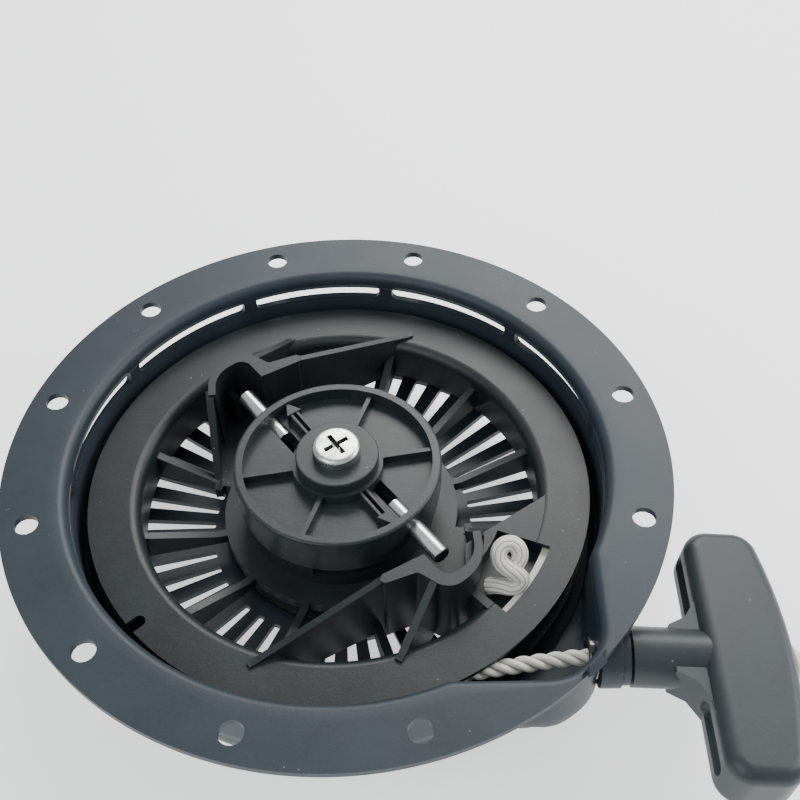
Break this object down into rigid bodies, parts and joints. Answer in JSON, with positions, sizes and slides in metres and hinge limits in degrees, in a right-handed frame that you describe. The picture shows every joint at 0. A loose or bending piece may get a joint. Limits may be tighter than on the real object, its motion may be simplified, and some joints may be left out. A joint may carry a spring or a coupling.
{
  "type": "recoil starter",
  "caption": "Pull-rope recoil starter for a small engine: flanged bowl housing, spoked rope pulley with catcher hooks, pin ratchet disc and T handle.",
  "frame": {"origin": "centre of the mounting flange's engine-side face, on the pulley's shaft axis", "axes": "+Z along the shaft towards the engine, +X the way the rope is pulled"},
  "size_m": [0.25, 0.2172, 0.0586],
  "materials": {
    "housing_plastic": "matte moulded, blue-black",
    "pulley_plastic": "matte moulded, black",
    "disc_plastic": "satin moulded, black",
    "handle_plastic": "satin moulded, black",
    "eyelet_plastic": "glossy black",
    "bush_plastic": "natural nylon",
    "zinc_steel": "zinc plated",
    "steel": "plain steel",
    "spring_steel": "blued spring steel",
    "rope": "twisted white nylon"
  },
  "bodies": {
    "housing": {"housing": "housing_plastic", "centre_post": "steel", "centre_screw": "zinc_steel", "screw_washer": "zinc_steel", "friction_cap": "disc_plastic", "recoil_spring": "spring_steel", "spring_anchor": "steel", "spring_cover": "steel", "rope_eyelet": "eyelet_plastic", "rope_run": "rope"},
    "pulley": {"pulley": "pulley_plastic", "pulley_bush": "bush_plastic", "cam_plate": "steel", "thrust_washer": "steel", "brake_spring": "spring_steel", "rope_coil": "rope", "pulley_knot": "rope"},
    "disc": {"ratchet_disc": "disc_plastic", "disc_cover": "disc_plastic"},
    "pin_a": {"drive_pin_a": "zinc_steel"},
    "pin_b": {"drive_pin_b": "zinc_steel"},
    "handle": {"handle_grip": "handle_plastic", "handle_rope": "rope", "knot_washer": "steel", "handle_knot": "rope"}
  },
  "joints": [
    {"name": "pulley_spin", "type": "hinge", "parent": "housing", "child": "pulley", "pos_m": [0, 0, 0], "axis": [0, 0, 1], "range_deg": [0, 684], "stiffness_Nm_per_rad": 0.06, "springref_deg": -458.37},
    {"name": "disc_turn", "type": "hinge", "parent": "pulley", "child": "disc", "pos_m": [0, 0, 0], "axis": [0, 0, 1], "range_deg": [0, 45]},
    {"name": "pin_a_slide", "type": "slide", "parent": "disc", "child": "pin_a", "axis": [-0.6115, 0.7912, 0], "range_m": [-0.0146, 0]},
    {"name": "pin_b_slide", "type": "slide", "parent": "disc", "child": "pin_b", "axis": [0.6115, -0.7912, 0], "range_m": [-0.0146, 0]},
    {"name": "handle_pull", "type": "slide", "parent": "housing", "child": "handle", "axis": [1, 0, 0], "range_m": [0, 0.88]}
  ],
  "couplings": [
    {"joint": "handle_pull", "follows": "pulley_spin", "m_per_rad": 0.0735},
    {"joint": "pin_a_slide", "follows": "disc_turn", "m_per_rad": -0.018462},
    {"joint": "pin_b_slide", "follows": "disc_turn", "m_per_rad": -0.018462}
  ]
}
